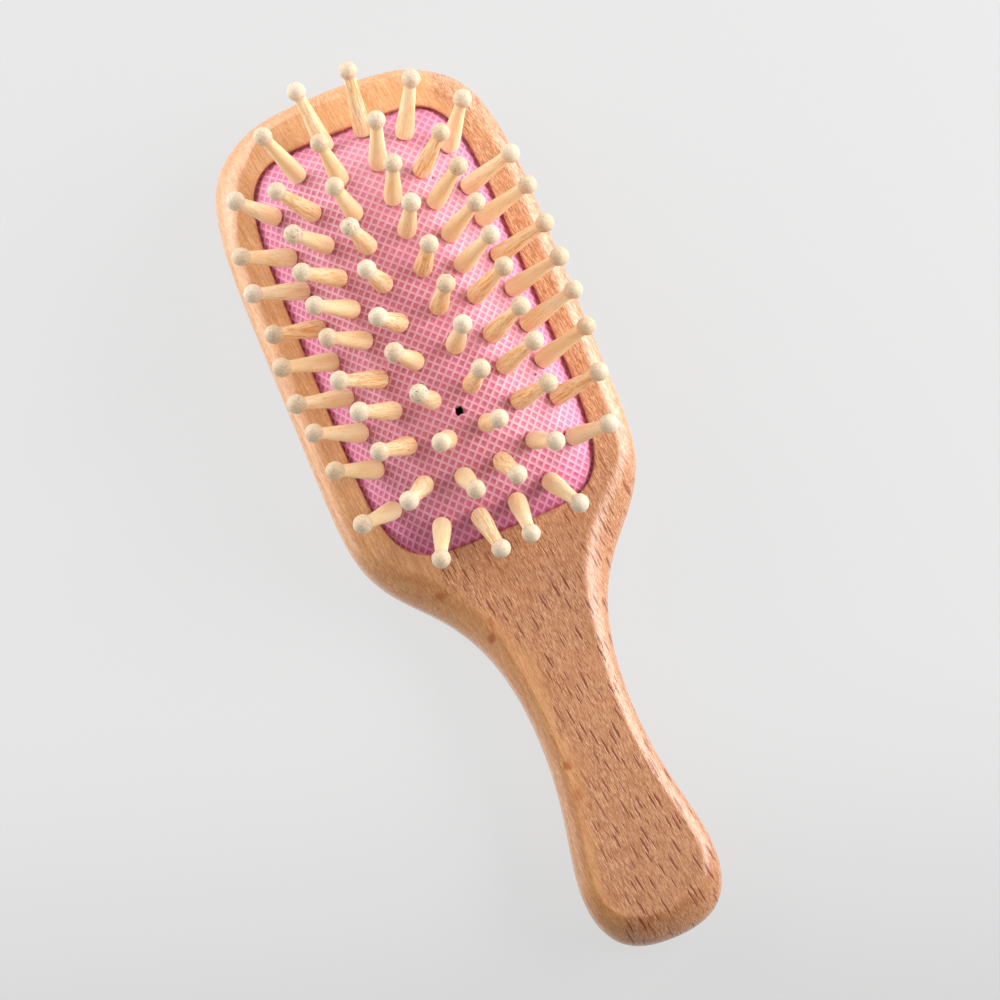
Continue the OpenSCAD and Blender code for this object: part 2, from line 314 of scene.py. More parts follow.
def weave(x, y):
    """The diamond pattern's own two directions, at 45 degrees to the brush."""
    u, w = across(x, y), y - 0.0021 * np.maximum(0, y - 12) ** 2
    return (u + w) / math.sqrt(2), (u - w) / math.sqrt(2)


def unweave(a, b):
    u, w = (a + b) / math.sqrt(2), (a - b) / math.sqrt(2)
    y = w.copy()
    for _ in range(12):
        y = np.clip(w + 0.0021 * np.maximum(0, y - 12) ** 2, -60, 60)
    x = u * 0.8
    for _ in range(25):
        e = u - across(x, y)
        x = x + np.clip(e * 0.75, -2, 2)
    return x, y


def relief(x, y):
    # fades out just inside the rim
    edge = np.minimum((np.abs(x) / HW) ** POW + (np.abs(y) / HL) ** POW, 1) ** (1 / POW)
    fade = 1 - smooth((edge - 0.965) / 0.02)
    a, b = weave(x, y)
    return -RELIEF * (1 - np.maximum(line_share(a), line_share(b))) * fade


def waves(x, y):
    # slow unevenness of a stretched, moulded skin
    return 0.05 * np.sin(x * 0.31 + 1.3) * np.sin(y * 0.23 + 0.4) + 0.03 * np.sin(x * 0.71 + y * 0.37)


PINS = [(c, r) for c in range(6) for r in range(len(col_rows(c)))]
BASES = {p: pin_base(*p) for p in PINS}
AXES = {p: pin_axis(*p) for p in PINS}


def skin_points(p, lower):
    """Where a pin's axis meets the skin's outer (0) or inner (RUBBER) face."""
    b, v = BASES[p], AXES[p]
    s = 0.0
    for _ in range(30):
        q = b - v * s
        gap = q[2] - (RIM + float(dome(q[0], q[1] - HEAD_Y)) - lower)
        s += gap * 0.7
    return b - v * s


def build_cushion():
    M = 240
    rim = pocket_ring(-0.1, 0, M)[:, :2] - [0, HEAD_Y]
    K = 16
    ang = np.linspace(0, 2 * np.pi, K, endpoint=False)
    ragged = [1.04, 0.74, 1.12, 0.96, 0.70, 1.08, 0.88, 0.66, 1.10, 0.78, 0.98, 1.14, 0.74, 0.92, 1.10, 0.70]

    def loops(lower):
        out = []
        for p in PINS:
            q = skin_points(p, lower)
            v = AXES[p]
            # the hole's ellipse on the skin, seen from above
            t = np.array([v[0], v[1]])
            tilt = np.linalg.norm(t)
            d = t / tilt if tilt > 1e-6 else np.array([1.0, 0])
            e = np.array([-d[1], d[0]])
            loop = [q[:2] - [0, HEAD_Y] + HOLE_R * (math.cos(a) * d * max(0.75, v[2]) + math.sin(a) * e) for a in ang]
            out.append(np.array(loop))
        out.append(np.array([[VENT[0] + r * math.cos(a), VENT[1] + r * math.sin(a)] for a, r in zip(ang, ragged)]))
        return out

    def cdt(grid, lps):
        pts = [Vector((float(a), float(b))) for a, b in rim]
        faces = [list(range(M))]
        for lp in lps:
            k = len(pts)
            pts += [Vector((float(a), float(b))) for a, b in lp]
            faces.append(list(range(k, k + len(lp))))
        fixed = len(pts)
        pts += [Vector((float(a), float(b))) for a, b in grid]
        vs, _, tris, orig_v, _, orig_f = delaunay_2d_cdt(pts, [], faces, 0, 1e-7)
        first = [o[0] if o else -1 for o in orig_v]
        keep = []
        for t, of in zip(tris, orig_f):
            if of == [0] or (len(of) == 1 and of[0] == 0):
                ids = [first[i] for i in t]
                if min(ids) < 0:
                    continue
                a, b, c = (pts[i] for i in ids[:3])
                keep.append(ids if (b - a).cross(c - a) > 0 else ids[::-1])
        return np.array([tuple(p) for p in pts]), keep

    def grid_points(g, lps, clear):
        F = ((np.abs(g[:, 0]) / (HW - 0.1)) ** POW + (np.abs(g[:, 1]) / (HL - 0.1)) ** POW) ** (1 / POW)
        ok = F < 1 - clear / 22
        for lp in lps:
            c = lp.mean(0)
            rad = np.linalg.norm(lp - c, axis=1).max()
            ok &= np.hypot(g[:, 0] - c[0], g[:, 1] - c[1]) > rad + 0.08
        return g[ok]

    def lattice():
        n = int(60 / PITCH)
        st = []
        for k in range(-n, n + 1):
            st += [k * PITCH - LINE, k * PITCH + LINE, k * PITCH + LINE + BEVEL, (k + 1) * PITCH - LINE - BEVEL]
        a, b = np.meshgrid(st, st)
        a, b = a.ravel(), b.ravel()
        near = (np.abs(a + b) < 32 * math.sqrt(2)) & (np.abs(a - b) < 44 * math.sqrt(2))
        x, y = unweave(a[near], b[near])
        ok = (np.abs(x) < HW) & (np.abs(y) < HL)
        return np.c_[x[ok], y[ok]]

    def square(step):
        gx, gy = np.meshgrid(np.arange(-21.5, 22, step), np.arange(-41, 41.5, step))
        return np.c_[gx.ravel(), gy.ravel()]

    up_l, lo_l = loops(0), loops(RUBBER)
    P1, T1 = cdt(grid_points(lattice(), up_l, 0.25), up_l)
    P2, T2 = cdt(grid_points(square(1.6), lo_l, 0.8), lo_l)
    z1 = RIM + dome(P1[:, 0], P1[:, 1]) + relief(P1[:, 0], P1[:, 1]) + waves(P1[:, 0], P1[:, 1]) * np.minimum(1, dome(P1[:, 0], P1[:, 1]) / 3) - 0.03
    # dents under the pin bases
    for p in PINS:
        b, v = BASES[p], AXES[p]
        q = np.c_[P1[:, 0], P1[:, 1] + HEAD_Y, z1] - b
        h = q @ v
        rad = np.linalg.norm(q - h[:, None] * v, axis=1)
        over = np.maximum(0, h + 0.02) * (1 - smooth((rad - 1.75) / 0.5)) * (rad < 2.3)
        z1 -= over / max(0.5, v[2])
    z2 = RIM + dome(P2[:, 0], P2[:, 1]) - RUBBER
    z1[:M] = RIM
    z2[:M] = RIM - RUBBER
    V1 = np.c_[P1[:, 0], P1[:, 1] + HEAD_Y, z1]
    V2 = np.c_[P2[:, 0], P2[:, 1] + HEAD_Y, z2]
    f1 = pocket_ring(1.4, RIM, M)
    f2 = pocket_ring(1.4, RIM - RUBBER, M)
    verts = np.r_[V1, V2, f1, f2]
    o2 = len(V1)
    o3 = o2 + len(V2)
    o4 = o3 + M
    faces = [list(t) for t in T1] + [[o2 + i for i in t[::-1]] for t in T2]
    for k in range(M):
        n = (k + 1) % M
        faces += [(k, o3 + k, o3 + n, n), (o3 + k, o4 + k, o4 + n, o3 + n), (o4 + k, o2 + k, o2 + n, o4 + n)]
    for j in range(len(up_l)):
        s = M + j * K
        for k in range(K):
            n = (k + 1) % K
            faces.append((s + k, s + n, o2 + s + n, o2 + s + k))
    ob = mesh_piece("cushion_skin", verts * MM, faces)
    a, b = weave(verts[:, 0], verts[:, 1] - HEAD_Y)
    at = ob.data.attributes.new("weave", "FLOAT_VECTOR", "POINT")
    at.data.foreach_set("vector", np.c_[a, b, 0 * a].astype(np.float32).ravel())
    return ob


skin = build_cushion()

# ---------------------------------------------------------------- pins
PIN_L = 13.8


def build_pin(p, seed):
    """One turned pin along its own axis, in millimetres: points, faces, local coordinates."""
    r = random.Random(seed)
    fat = r.uniform(-0.02, 0.045)
    ball = 1.8 + r.uniform(-0.05, 0.03)
    thin = r.uniform(-0.06, 0.05)
    prof = [(0.02, -3.7), (0.75, -3.68), (0.98, -3.6), (1.46, -3.05), (1.5, -2.9), (1.46, -2.72), (1.02, -2.4), (1.0, -2.2),
            (1.0, -1.2), (1.0, -0.3), (1.0, 0.07)]
    body = [(1.2, 0.08), (1.38, 0.12), (1.52, 0.22), (1.64, 0.4), (1.73, 0.66), (1.78, 1.0), (1.8, 1.45), (1.79, 2.0),
            (1.755, 2.8), (1.70, 3.7), (1.63, 4.7), (1.55, 5.7), (1.46, 6.8), (1.375, 7.9), (1.30, 8.9), (1.23, 9.9),
            (1.18, 10.8), (1.155, 11.5)]
    for rad, h in body:
        w = smooth(np.array((h - 7) / 4.0))
        prof.append((rad + fat * (1 - w) * min(1, h) * 0.9 + thin * w, h))
    neck = 1.15 + thin
    a0 = math.asin(min(0.95, (neck + 0.10) / ball))
    h0 = PIN_L - ball * math.cos(a0)
    prof += [(neck + 0.005, h0 - 0.22), (neck + 0.03, h0 - 0.09)]
    for k in range(15):
        a = a0 + (math.pi - a0) * k / 14.0
        prof.append((max(0.0, ball * math.sin(a)), PIN_L - ball * math.cos(a)))
    prof = prof[:-1]
    n = 28
    ph = [r.uniform(0, 6.28) for _ in range(4)]
    pts, loc = [], []
    for rad, h in prof:
        for k in range(n):
            t = 2 * math.pi * k / n
            out = rad
            if h > 0.1:
                out += 0.012 * math.sin(2 * t + ph[0] + h * 0.15) + 0.008 * math.sin(3 * t + ph[1] - h * 0.3)
            cx = 0.02 * math.sin(h * 0.25 + ph[2]) * (1 if h > 0.1 else 0)
            q = (out * math.cos(t) + cx, out * math.sin(t), h)
            pts.append(q)
            loc.append(q)
    m = len(prof)
    faces = []
    for j in range(m - 1):
        for k in range(n):
            faces.append((j * n + k, j * n + (k + 1) % n, (j + 1) * n + (k + 1) % n, (j + 1) * n + k))
    pts.append((0, 0, -3.7))
    pts.append((0, 0, PIN_L + ball))
    loc += [(0, 0, -3.7), (0, 0, PIN_L + ball)]
    a, b = m * n, m * n + 1
    for k in range(n):
        faces.append((a, (k + 1) % n, k))
        faces.append((b, (m - 1) * n + k, (m - 1) * n + (k + 1) % n))
    v = AXES[p]
    x = unit(np.cross([0, 1, 0], v))
    y = np.cross(v, x)
    spin = r.uniform(0, 6.28)
    R = np.array([x * math.cos(spin) + y * math.sin(spin), -x * math.sin(spin) + y * math.cos(spin), v])
    P = np.array(pts) @ R + BASES[p]
    return P, faces, np.array(loc)


# Balls with more open end grain, as (column, row)
ROUGH = {(2, 3): 1.0, (0, 1): 0.8, (4, 0): 0.6, (1, 3): 0.5, (1, 2): 0.9, (3, 5): 0.8, (2, 7): 1.0, (4, 1): 0.5, (3, 4): 0.7, (5, 2): 0.6, (0, 0): 0.5}
nodes = [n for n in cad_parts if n.startswith("pin")]
pin_objects = {}
for node in sorted(nodes):
    marks = node.split("_")[1:]
    group = [("abcdef".index(t[0]), int(t[1:]) - 1) for t in marks]
    V, Fs, L, RND, RG = [], [], [], [], []
    for p in group:
        seed = 1000 + p[0] * 20 + p[1]
        P, faces, loc = build_pin(p, seed)
        off = sum(len(a) for a in V)
        Fs += [tuple(off + i for i in f) for f in faces]
        V.append(P)
        L.append(loc)
        RND += [random.Random(seed * 7).random()] * len(P)
        RG += [ROUGH.get(p, 0.12 + 0.2 * random.Random(seed * 3).random())] * len(P)
    ob = mesh_piece("turned_" + node, np.concatenate(V) * MM, Fs)
    me = ob.data
    at = me.attributes.new("pin_co", "FLOAT_VECTOR", "POINT")
    at.data.foreach_set("vector", (np.concatenate(L)).astype(np.float32).ravel())
    at = me.attributes.new("pin_rand", "FLOAT", "POINT")
    at.data.foreach_set("value", np.array(RND, np.float32))
    at = me.attributes.new("pin_rough", "FLOAT", "POINT")
    at.data.foreach_set("value", np.array(RG, np.float32))
    pin_objects[node] = ob


# ---------------------------------------------------------------- materials
def srgb(r, g, b):
    def f(v):
        v /= 255
        return v / 12.92 if v <= 0.04045 else ((v + 0.055) / 1.055) ** 2.4
    return (f(r), f(g), f(b), 1.0)


class Mat:
    """Small helper for building a node material."""

    def __init__(self, name):
        self.mat = bpy.data.materials.new(name)
        self.mat.use_nodes = True
        self.nt = self.mat.node_tree
        self.nt.nodes.clear()
        self.out = self.nt.nodes.new("ShaderNodeOutputMaterial")
        self.bsdf = self.nt.nodes.new("ShaderNodeBsdfPrincipled")
        self.link(self.bsdf.outputs[0], self.out.inputs[0])

    def link(self, a, b):
        self.nt.links.new(a, b)

    def put(self, socket, v):
        if isinstance(v, bpy.types.NodeSocket):
            self.link(v, socket)
        elif v is not None:
            socket.default_value = v

    def node(self, kind, ins=None, **props):
        n = self.nt.nodes.new("ShaderNode" + kind)
        for k, v in props.items():
            setattr(n, k, v)
        for k, v in (ins or {}).items():
            self.put(n.inputs[k], v)
        return n

    def math(self, op, a, b=None, c=None, clamp=False):
        n = self.node("Math", operation=op, use_clamp=clamp)
        self.put(n.inputs[0], a)
        if b is not None:
            self.put(n.inputs[1], b)
        if c is not None:
            self.put(n.inputs[2], c)
        return n.outputs[0]

    def vmath(self, op, a, b=None):
        n = self.node("VectorMath", operation=op)
        self.put(n.inputs[0], a)
        if b is not None:
            self.put(n.inputs[1], b)
        return n.outputs[0]

    def scaled(self, v, s):
        return self.vmath("MULTIPLY", v, s)

    def noise(self, v, detail=2.0, rough=0.5, distort=0.0, scale=1.0):
        n = self.node("TexNoise", {"Vector": v, "Scale": scale, "Detail": detail, "Roughness": rough, "Distortion": distort})
        return n.outputs[0]

    def step(self, v, lo, hi, a=0.0, b=1.0):
        n = self.node("MapRange", interpolation_type="SMOOTHSTEP")
        self.put(n.inputs["Value"], v)
        n.inputs["From Min"].default_value = lo
        n.inputs["From Max"].default_value = hi
        n.inputs["To Min"].default_value = a
        n.inputs["To Max"].default_value = b
        return n.outputs[0]

    def mix(self, f, a, b, mode="MIX"):
        n = self.node("Mix", data_type="RGBA", blend_type=mode)
        self.put(n.inputs[0], f)
        self.put(n.inputs[6], a)
        self.put(n.inputs[7], b)
        return n.outputs[2]

    def bump(self, h, dist, strength=1.0, normal=None):
        n = self.node("Bump")
        n.inputs["Strength"].default_value = strength
        n.inputs["Distance"].default_value = dist
        self.link(h, n.inputs["Height"])
        if normal is not None:
            self.link(normal, n.inputs["Normal"])
        return n.outputs[0]

    def mm(self):
        t = self.node("TexCoord")
        return self.scaled(t.outputs["Object"], (1000, 1000, 1000))


def beech():
    M = Mat("beech")
    P = M.mm()
    sp = M.node("SeparateXYZ", {0: P})
    x, y, z = sp.outputs
    # the grain leans a little across the board and wanders slowly
    drift = M.node("TexNoise", {"Vector": M.scaled(P, (0.010, 0.008, 0.02)), "Scale": 1.0, "Detail": 1.0})
    lean = M.node("CombineXYZ", {0: M.math("MULTIPLY", y, 0.10)}).outputs[0]
    W = M.vmath("ADD", M.vmath("ADD", P, lean), M.scaled(M.vmath("SUBTRACT", drift.outputs[1], (0.5, 0.5, 0.5)), (7, 0, 7)))
    shake = M.node("TexNoise", {"Vector": M.scaled(P, (1.4, 0.6, 0.7)), "Scale": 1.0, "Detail": 2.0})
    WS = M.vmath("ADD", W, M.scaled(M.vmath("SUBTRACT", shake.outputs[1], (0.5, 0.5, 0.5)), (0.34, 0.8, 0)))
    fine = M.noise(M.scaled(W, (5.6, 0.55, 1.4)), 2.5, 0.6)
    fine2 = M.noise(M.vmath("ADD", M.scaled(W, (7.4, 1.1, 2.4)), (9, 4, 1)), 2.5, 0.6)
    hair = M.noise(M.scaled(W, (4.5, 0.16, 2.5)), 3, 0.55)
    coarse = M.noise(M.scaled(W, (0.8, 0.035, 0.6)), 3, 0.55)
    blotch = M.noise(M.scaled(P, (0.06, 0.03, 0.06)), 2, 0.5)
    # plain-sawn border: left of it the rays run out and the wood turns smooth
    edge = M.math("SUBTRACT", M.step(y, -32, -9, -4.6, -14.0), M.step(y, -9, 8, 0.0, 10.5))
    edge = M.math("SUBTRACT", edge, M.step(y, -74, -52, 3.4, 0.0))
    edge = M.math("ADD", edge, M.step(y, 4, 22, 0.0, 45.0))
    wob = M.math("MULTIPLY", M.math("SUBTRACT", M.noise(M.scaled(P, (0.10, 0.16, 0.1)), 2, 0.5), 0.5), 5.0)
    smoothside = M.step(M.math("SUBTRACT", M.math("ADD", x, wob), edge), -1.2, 1.0, 1.0, 0.0)
    rays = M.math("SUBTRACT", 1.0, M.math("MULTIPLY", smoothside, 0.93))
    patch = M.step(M.noise(M.scaled(P, (0.09, 0.05, 0.09)), 2, 0.5), 0.36, 0.52, 0.72, 1.0)
    rays = M.math("MULTIPLY", M.math("MULTIPLY", rays, M.step(y, -8, 6, 1.0, 0.42)), patch)
    flank = M.math("MULTIPLY", M.step(z, 1.5, 3.5), M.step(z, 8.5, 11.0, 1.0, 0.0))
    rays = M.math("MULTIPLY", rays, M.math("SUBTRACT", 1.0, M.math("MULTIPLY", flank, 0.6)))

    # growth layers lie nearly parallel to the front face
    rz = M.math("ADD", z, M.math("MULTIPLY", M.noise(M.scaled(P, (0.05, 0.014, 0.03)), 2, 0.5), 16.0))
    ring = M.step(M.math("SINE", M.math("MULTIPLY", rz, 2 * math.pi / 1.9)), 0.1, 1.0)

    def flecks(sx, sy, shift, keep, small, big, soft):
        n = M.node("TexVoronoi", voronoi_dimensions="2D", feature="F1", distance="MINKOWSKI")
        q = M.node("SeparateXYZ", {0: M.vmath("ADD", M.scaled(WS, (1 / sx, 1 / sy, 0)), shift)})
        # neighbouring files of cells are set off along the grain, and the rays end within the thickness
        low = M.math("MINIMUM", z, 8.5)
        u = M.math("ADD", q.outputs[0], M.math("MULTIPLY", low, 0.8))
        v = M.math("ADD", M.math("ADD", q.outputs[1], M.math("MULTIPLY", q.outputs[0], 0.41)), M.math("MULTIPLY", low, 0.2))
        M.put(n.inputs["Vector"], M.node("CombineXYZ", {0: u, 1: v}).outputs[0])
        n.inputs["Scale"].default_value = 1.0
        n.inputs["Exponent"].default_value = 1.3
        n.inputs["Randomness"].default_value = 0.92
        c = M.node("SeparateColor", {0: n.outputs["Color"]})
        r = M.math("ADD", M.math("MULTIPLY", c.outputs[0], big - small), small)
        on = M.math("LESS_THAN", c.outputs[1], keep)
        d = M.math("DIVIDE", M.math("SUBTRACT", r, n.outputs["Distance"]), soft)
        return M.math("MULTIPLY", M.math("MAXIMUM", M.math("MINIMUM", d, 1.0), 0.0), on)

    big = M.math("MULTIPLY", flecks(1.05, 7.4, (0, 0, 0), 0.90, 0.12, 0.30, 0.06), rays)
    mid = M.math("MULTIPLY", flecks(0.75, 4.2, (17, 5, 3), 0.78, 0.10, 0.24, 0.07), rays)
    tiny = M.math("MULTIPLY", flecks(0.5, 2.4, (41, 9, 7), 0.70, 0.10, 0.28, 0.2), M.math("ADD", M.math("MULTIPLY", rays, 0.8), 0.2))
    # pale dashes: painted highlights, glints on the pores
    pale = flecks(0.42, 2.0, (5, 71, 11), 0.65, 0.14, 0.30, 0.2)

    c = M.mix(M.step(fine, 0.38, 0.62), srgb(238, 188, 150), srgb(188, 124, 82))
    plain = M.mix(M.step(hair, 0.3, 0.7), srgb(240, 188, 138), srgb(212, 146, 86))
    c = M.mix(M.math("MULTIPLY", smoothside, 0.78), c, plain)
    c = M.mix(M.math("MULTIPLY", M.step(fine2, 0.46, 0.60), M.math("SUBTRACT", 0.70, M.math("MULTIPLY", smoothside, 0.35))), c, srgb(164, 100, 60))
    c = M.mix(M.math("MULTIPLY", M.step(coarse, 0.45, 0.72), 0.30), c, srgb(196, 132, 86))
    c = M.mix(M.math("MULTIPLY", ring, 0.20), c, srgb(190, 120, 72))
    c = M.mix(M.math("MULTIPLY", M.step(blotch, 0.4, 0.7), 0.25), c, srgb(222, 160, 120))
    c = M.mix(M.math("MULTIPLY", pale, 0.5), c, srgb(244, 204, 170))
    c = M.mix(M.math("MULTIPLY", tiny, 0.46), c, srgb(162, 100, 62))
    c = M.mix(M.math("MULTIPLY", mid, 0.74), c, srgb(164, 84, 24))
    c = M.mix(M.math("MULTIPLY", big, 0.94), c, srgb(142, 60, 8))
    # a few brown spots and one curl where a growth layer breaks the surface
    soft = M.noise(M.scaled(P, (0.9, 0.6, 0.3)), 3, 0.6)
    for px, py, rx, ry, k in ((-10.4, -24.6, 1.2, 1.2, 0.85), (-6.3, -51.8, 1.1, 1.2, 0.85), (-6.5, -57.4, 1.1, 1.5, 0.5), (-7.9, -77.0, 0.8, 2.2, 0.4),
                              (-9.2, -22.0, 0.6, 1.4, 0.6), (-16.4, -13.6, 1.6, 1.3, 0.6), (-5.2, -60.5, 0.5, 1.3, 0.6)):
        d = M.vmath("MULTIPLY", M.vmath("SUBTRACT", P, (px, py, 0)), (1 / rx, 1 / ry, 0))
        ln = M.node("VectorMath", {0: d}, operation="LENGTH").outputs["Value"]
        spot = M.step(M.math("ADD", ln, M.math("MULTIPLY", soft, 1.2)), 0.9, 1.7, 1.0, 0.0)
        c = M.mix(M.math("MULTIPLY", spot, k), c, srgb(182, 96, 36))
    d = M.vmath("MULTIPLY", M.vmath("SUBTRACT", P, (-25.5, -2.5, 0)), (1 / 3.6, 1 / 5.2, 0))
    ln = M.node("VectorMath", {0: d}, operation="LENGTH").outputs["Value"]
    ln = M.math("ADD", ln, M.math("MULTIPLY", M.noise(M.scaled(P, (0.12, 0.16, 0.2)), 1, 0.5), 0.8))
    curl = M.step(M.math("SINE", M.math("MULTIPLY", ln, 5.2)), -0.3, 1.0)
    curl = M.math("MULTIPLY", curl, M.step(M.math("ABSOLUTE", M.math("SUBTRACT", ln, 2.0)), 0.3, 1.2, 1.0, 0.0))
    curl = M.math("MULTIPLY", curl, M.step(x, -24, -18))
    c = M.mix(M.math("MULTIPLY", curl, 0.38), c, srgb(182, 108, 58))
    # painted shade: the colour turns darker and browner towards the handle and darker again at the bulb, as the light
    # falls off away from the head; the head is painted a little lighter
    painted_falloff = M.mix(M.step(y, -14, 14), (0.84, 0.765, 0.645, 1), (1.07, 1.07, 1.05, 1))
    c = M.mix(1.0, c, painted_falloff, "MULTIPLY")
    c = M.mix(1.0, c, M.mix(M.step(y, -84, -58), (0.90, 0.88, 0.84, 1), (1, 1, 1, 1)), "MULTIPLY")
    M.put(M.bsdf.inputs["Base Color"], c)
    rough = M.step(fine, 0.3, 0.7, 0.36, 0.50)
    M.put(M.bsdf.inputs["Roughness"], M.math("ADD", rough, M.math("MULTIPLY", big, 0.12)))
    M.bsdf.inputs["Specular IOR Level"].default_value = 0.4
    M.bsdf.inputs["Coat Weight"].default_value = 0.8
    M.bsdf.inputs["Coat Roughness"].default_value = 0.26
    M.bsdf.inputs["Coat IOR"].default_value = 1.5
    h = M.math("ADD", M.math("MULTIPLY", fine, 0.5), M.math("MULTIPLY", fine2, 0.7))
    h = M.math("SUBTRACT", h, M.math("ADD", M.math("MULTIPLY", big, 0.8), M.math("MULTIPLY", mid, 0.4)))
    nb = M.bump(h, 0.000040, 0.9)
    M.link(nb, M.bsdf.inputs["Normal"])
    M.link(nb, M.bsdf.inputs["Coat Normal"])
    return M.mat


def rubber():
    M = Mat("pink_rubber")
    P = M.mm()
    sep = M.node("SeparateXYZ", {0: P})
    z = sep.outputs[2]
    weave_co = M.node("Attribute", attribute_name="weave").outputs["Vector"]
    wsep = M.node("SeparateXYZ", {0: weave_co})

    def line(v):
        d = M.math("ABSOLUTE", M.math("SUBTRACT", M.math("FLOORED_MODULO", M.math("ADD", v, PITCH / 2), PITCH), PITCH / 2))
        return M.step(d, LINE - 0.06, LINE + 0.06, 1.0, 0.0)

    wob = M.noise(M.scaled(P, (0.5, 0.5, 0.5)), 1, 0.5)
    lx, ly = line(wsep.outputs[0]), line(wsep.outputs[1])
    grid = M.math("MAXIMUM", lx, ly)
    cell = M.node("TexWhiteNoise", noise_dimensions="3D")
    snap = M.node("VectorMath", operation="SNAP")
    M.put(snap.inputs[0], weave_co)
    snap.inputs[1].default_value = (PITCH, PITCH, 1000)
    M.link(snap.outputs[0], cell.inputs["Vector"])
    # painted shade: squares and lines turn a darker magenta low down near the rim, where the skin slopes away from the
    # light
    low = M.step(z, RIM + 0.2, RIM + 9.0, 1.0, 0.0)
    cloud = M.noise(M.scaled(P, (0.09, 0.07, 0.09)), 3, 0.5)
    sq = M.mix(M.math("MULTIPLY", cell.outputs[0], 0.35), srgb(213, 110, 136), srgb(202, 94, 118))
    sq = M.mix(M.math("MULTIPLY", M.step(cloud, 0.35, 0.7), 0.7), sq, srgb(221, 122, 148))
    # painted sheen: squares lighter towards the dome's lit right and top
    painted_sheen = M.step(M.math("ADD", sep.outputs[0], M.math("MULTIPLY", M.math("SUBTRACT", sep.outputs[1], HEAD_Y), 0.35)), -2.0, 15.0)
    sq = M.mix(M.math("MULTIPLY", painted_sheen, 0.5), sq, srgb(234, 146, 164))
    # painted shade near the rim, on the squares here and on the lines below
    sq = M.mix(M.math("MULTIPLY", low, 0.50), sq, srgb(196, 72, 128))
    ln = M.mix(M.step(wob, 0.35, 0.7), srgb(236, 184, 202), srgb(230, 170, 190))
    ln = M.mix(M.math("MULTIPLY", low, 0.6), ln, srgb(222, 130, 172))
    c = M.mix(M.math("MULTIPLY", grid, 0.92), sq, ln)
    fine = M.noise(M.scaled(P, (3, 3, 3)), 3, 0.6)
    c = M.mix(M.math("MULTIPLY", M.step(fine, 0.5, 0.8), 0.22), c, srgb(248, 190, 200))
    for sx, sy, r in ((12.6, 24.3, 0.16), (16.1, -18.3, 0.18)):
        d = M.vmath("DISTANCE", M.vmath("MULTIPLY", P, (1, 1, 0)), (sx, sy + HEAD_Y, 0))
        n = d.node
        dot = M.step(n.outputs["Value"], r, r + 0.14, 1.0, 0.0)
        c = M.mix(M.math("MULTIPLY", dot, 0.9), c, srgb(74, 18, 38))
    M.put(M.bsdf.inputs["Base Color"], c)
    M.put(M.bsdf.inputs["Roughness"], M.step(fine, 0.3, 0.7, 0.38, 0.52))
    M.bsdf.inputs["Specular IOR Level"].default_value = 0.5
    M.bsdf.inputs["Sheen Weight"].default_value = 0.15
    M.bsdf.inputs["Sheen Roughness"].default_value = 0.5
    M.bsdf.inputs["Subsurface Weight"].default_value = 0.12
    M.bsdf.inputs["Subsurface Radius"].default_value = (1.0, 0.45, 0.4)
    M.bsdf.inputs["Subsurface Scale"].default_value = 0.0012
    h = M.math("ADD", M.math("MULTIPLY", fine, 0.35), M.math("MULTIPLY", grid, 0.6))
    M.link(M.bump(h, 0.00004, 0.6), M.bsdf.inputs["Normal"])
    return M.mat


